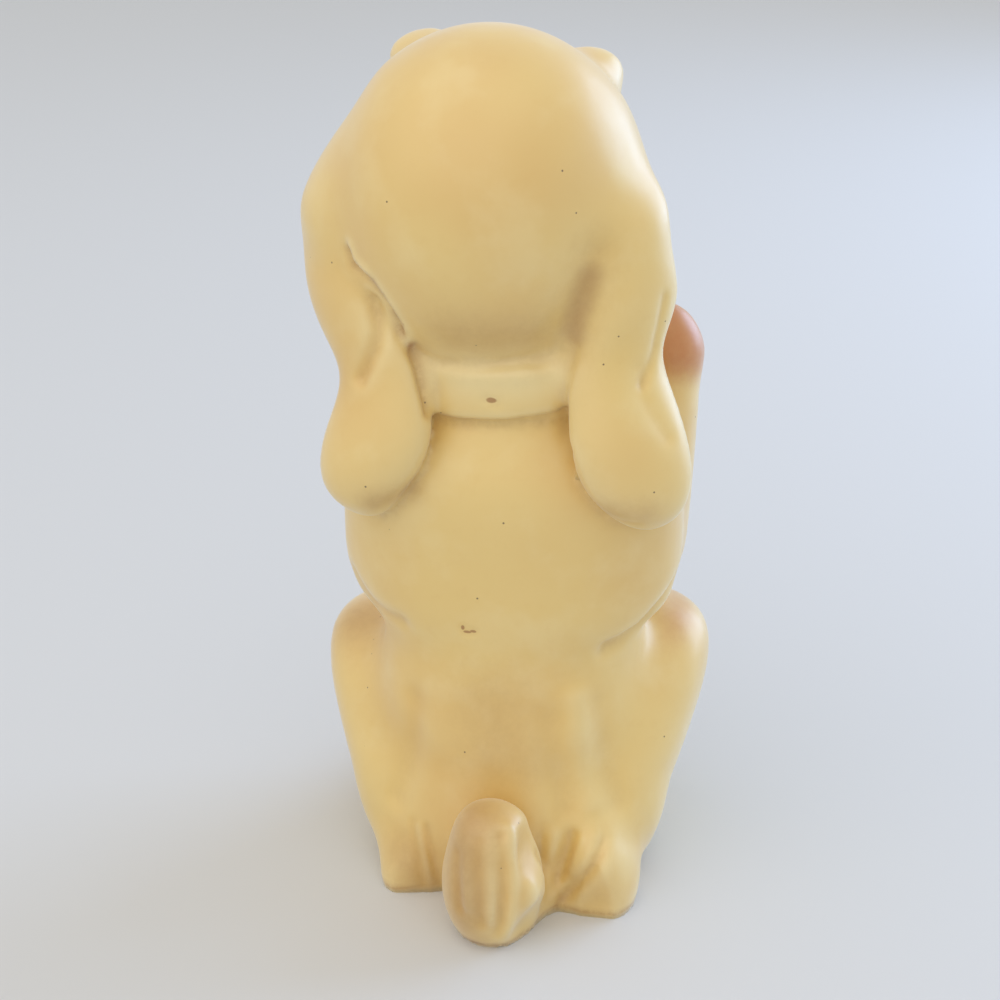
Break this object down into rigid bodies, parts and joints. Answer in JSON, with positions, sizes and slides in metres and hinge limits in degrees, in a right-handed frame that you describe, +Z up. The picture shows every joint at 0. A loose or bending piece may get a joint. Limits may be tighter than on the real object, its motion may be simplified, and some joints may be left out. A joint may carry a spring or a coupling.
{
  "type": "chalkware hound figure",
  "caption": "Hand-high cast plaster figure of a long-eared hound that sits up and begs, with a collar and an upright tail, on a flat open base.",
  "frame": {"origin": "middle of the figure's footprint on the plane that it stands on", "axes": "+Z up, the hound looks towards -Y and its left side is +X"},
  "size_m": [0.0819, 0.0872, 0.1747],
  "materials": {
    "sealed_plaster": "satin cream-yellow sealer over cast plaster",
    "airbrushed_plaster": "orange-brown paint blown thinly over the satin sealer",
    "worn_plaster": "rubbed satin sealer with brownish wear",
    "nose_paint": "dark gloss paint on plaster",
    "eye_paint": "dark gloss paint on plaster"
  },
  "bodies": {
    "root": {"body_shell": "sealed_plaster", "head": "sealed_plaster", "muzzle": "sealed_plaster", "chin": "sealed_plaster", "nose": "nose_paint", "left_eye": "eye_paint", "right_eye": "eye_paint", "left_brow": "sealed_plaster", "right_brow": "sealed_plaster", "left_ear": "sealed_plaster", "right_ear": "sealed_plaster", "collar": "sealed_plaster", "left_haunch": "sealed_plaster", "right_haunch": "sealed_plaster", "left_hind_foot": "airbrushed_plaster", "right_hind_foot": "airbrushed_plaster", "left_foreleg": "sealed_plaster", "right_foreleg": "sealed_plaster", "left_forepaw": "airbrushed_plaster", "right_forepaw": "airbrushed_plaster", "tail": "worn_plaster"}
  },
  "joints": []
}
